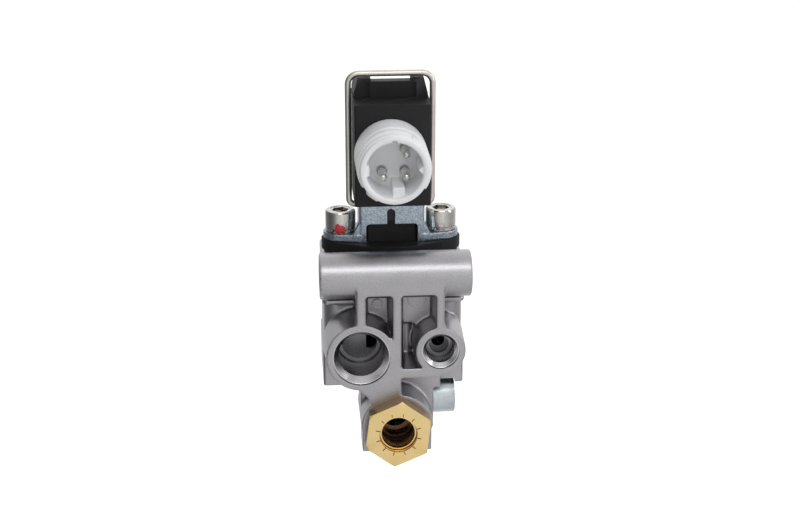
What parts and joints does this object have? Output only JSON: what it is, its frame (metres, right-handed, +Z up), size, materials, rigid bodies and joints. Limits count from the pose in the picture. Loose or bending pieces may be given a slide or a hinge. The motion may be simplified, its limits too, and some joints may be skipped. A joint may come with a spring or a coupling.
{
  "type": "solenoid valve",
  "caption": "Pilot-operated solenoid air valve: ported die-cast body, push-in inlet, clamped pilot head, coil block with round bayonet connector and wire bail.",
  "frame": {"origin": "centre of the flat rear mounting face of the cast body, midway between its two bolt holes and 5 mm above them", "axes": "+Z up along the valve and coil axis, +Y out of the rear mounting face, so the ports and the connector face -Y; +X to the right seen from the ports"},
  "size_m": [0.0486, 0.047, 0.1244],
  "materials": {
    "casting": "die-cast, satin, fine grain",
    "brass": "machined, satin",
    "zinc_plate": "blue-passivated zinc, speckled satin",
    "nickel_plate": "bright nickel",
    "spring_steel": "drawn stainless wire",
    "magnet_steel": "turned, satin",
    "piston_alloy": "turned, satin",
    "black_plastic": "moulded, glass-filled, matte",
    "grey_plastic": "moulded, satin",
    "bobbin_plastic": "moulded, satin",
    "copper_wire": "enamelled copper wire",
    "black_rubber": "matte",
    "red_paint": "dabbed lacquer"
  },
  "bodies": {
    "valve": {"valve_body": "casting", "fitting_body": "brass", "pilot_nozzle": "brass", "side_plug": "zinc_plate", "retaining_bracket": "zinc_plate", "washer_left": "nickel_plate", "washer_right": "nickel_plate", "cap_screw_left": "nickel_plate", "cap_screw_right": "nickel_plate", "contact_pin_1": "nickel_plate", "contact_pin_2": "nickel_plate", "contact_pin_3": "nickel_plate", "piston_spring": "spring_steel", "poppet_spring": "spring_steel", "armature_spring": "spring_steel", "circlip": "spring_steel", "guide_tube": "magnet_steel", "fixed_core": "magnet_steel", "coil_yoke": "magnet_steel", "bottom_cap": "piston_alloy", "pilot_base": "black_plastic", "pilot_housing": "black_plastic", "coil_housing": "black_plastic", "connector_shell": "grey_plastic", "coil_bobbin": "bobbin_plastic", "coil_winding": "copper_wire", "tube_seal": "black_rubber", "fitting_seal": "black_rubber", "side_plug_seal": "black_rubber", "bottom_cap_seal": "black_rubber", "flange_gasket": "black_rubber", "pilot_seal": "black_rubber", "guide_tube_seal": "black_rubber", "tamper_mark": "red_paint"},
    "armature": {"armature": "magnet_steel", "armature_seal": "black_rubber"},
    "relay_piston": {"relay_piston": "piston_alloy", "piston_seal": "black_rubber"},
    "valve_poppet": {"valve_poppet": "black_rubber"},
    "fitting_collet": {"fitting_collet": "brass"},
    "bail": {"bail_clip": "spring_steel"}
  },
  "joints": [
    {"name": "armature_slide", "type": "slide", "parent": "valve", "child": "armature", "axis": [0, 0, 1], "range_m": [0, 0.001], "stiffness_N_per_m": 1000, "springref_m": -0.003, "deforming": ["armature_spring"]},
    {"name": "piston_slide", "type": "slide", "parent": "valve", "child": "relay_piston", "axis": [0, 0, -1], "range_m": [0, 0.003], "stiffness_N_per_m": 2000, "springref_m": -0.004, "deforming": ["piston_spring"]},
    {"name": "poppet_slide", "type": "slide", "parent": "valve", "child": "valve_poppet", "axis": [0, 0, -1], "range_m": [0, 0.003], "stiffness_N_per_m": 1500, "springref_m": -0.004, "deforming": ["poppet_spring"]},
    {"name": "collet_release", "type": "slide", "parent": "valve", "child": "fitting_collet", "axis": [0, 1, 0], "range_m": [0, 0.001], "stiffness_N_per_m": 1000, "springref_m": -0.002},
    {"name": "bail_swing", "type": "hinge", "parent": "valve", "child": "bail", "pos_m": [0, -0.015, 0.0397], "axis": [-1, 0, 0], "range_deg": [0, 95]}
  ],
  "couplings": [
    {"joint": "poppet_slide", "follows": "piston_slide", "ratio": 1}
  ]
}
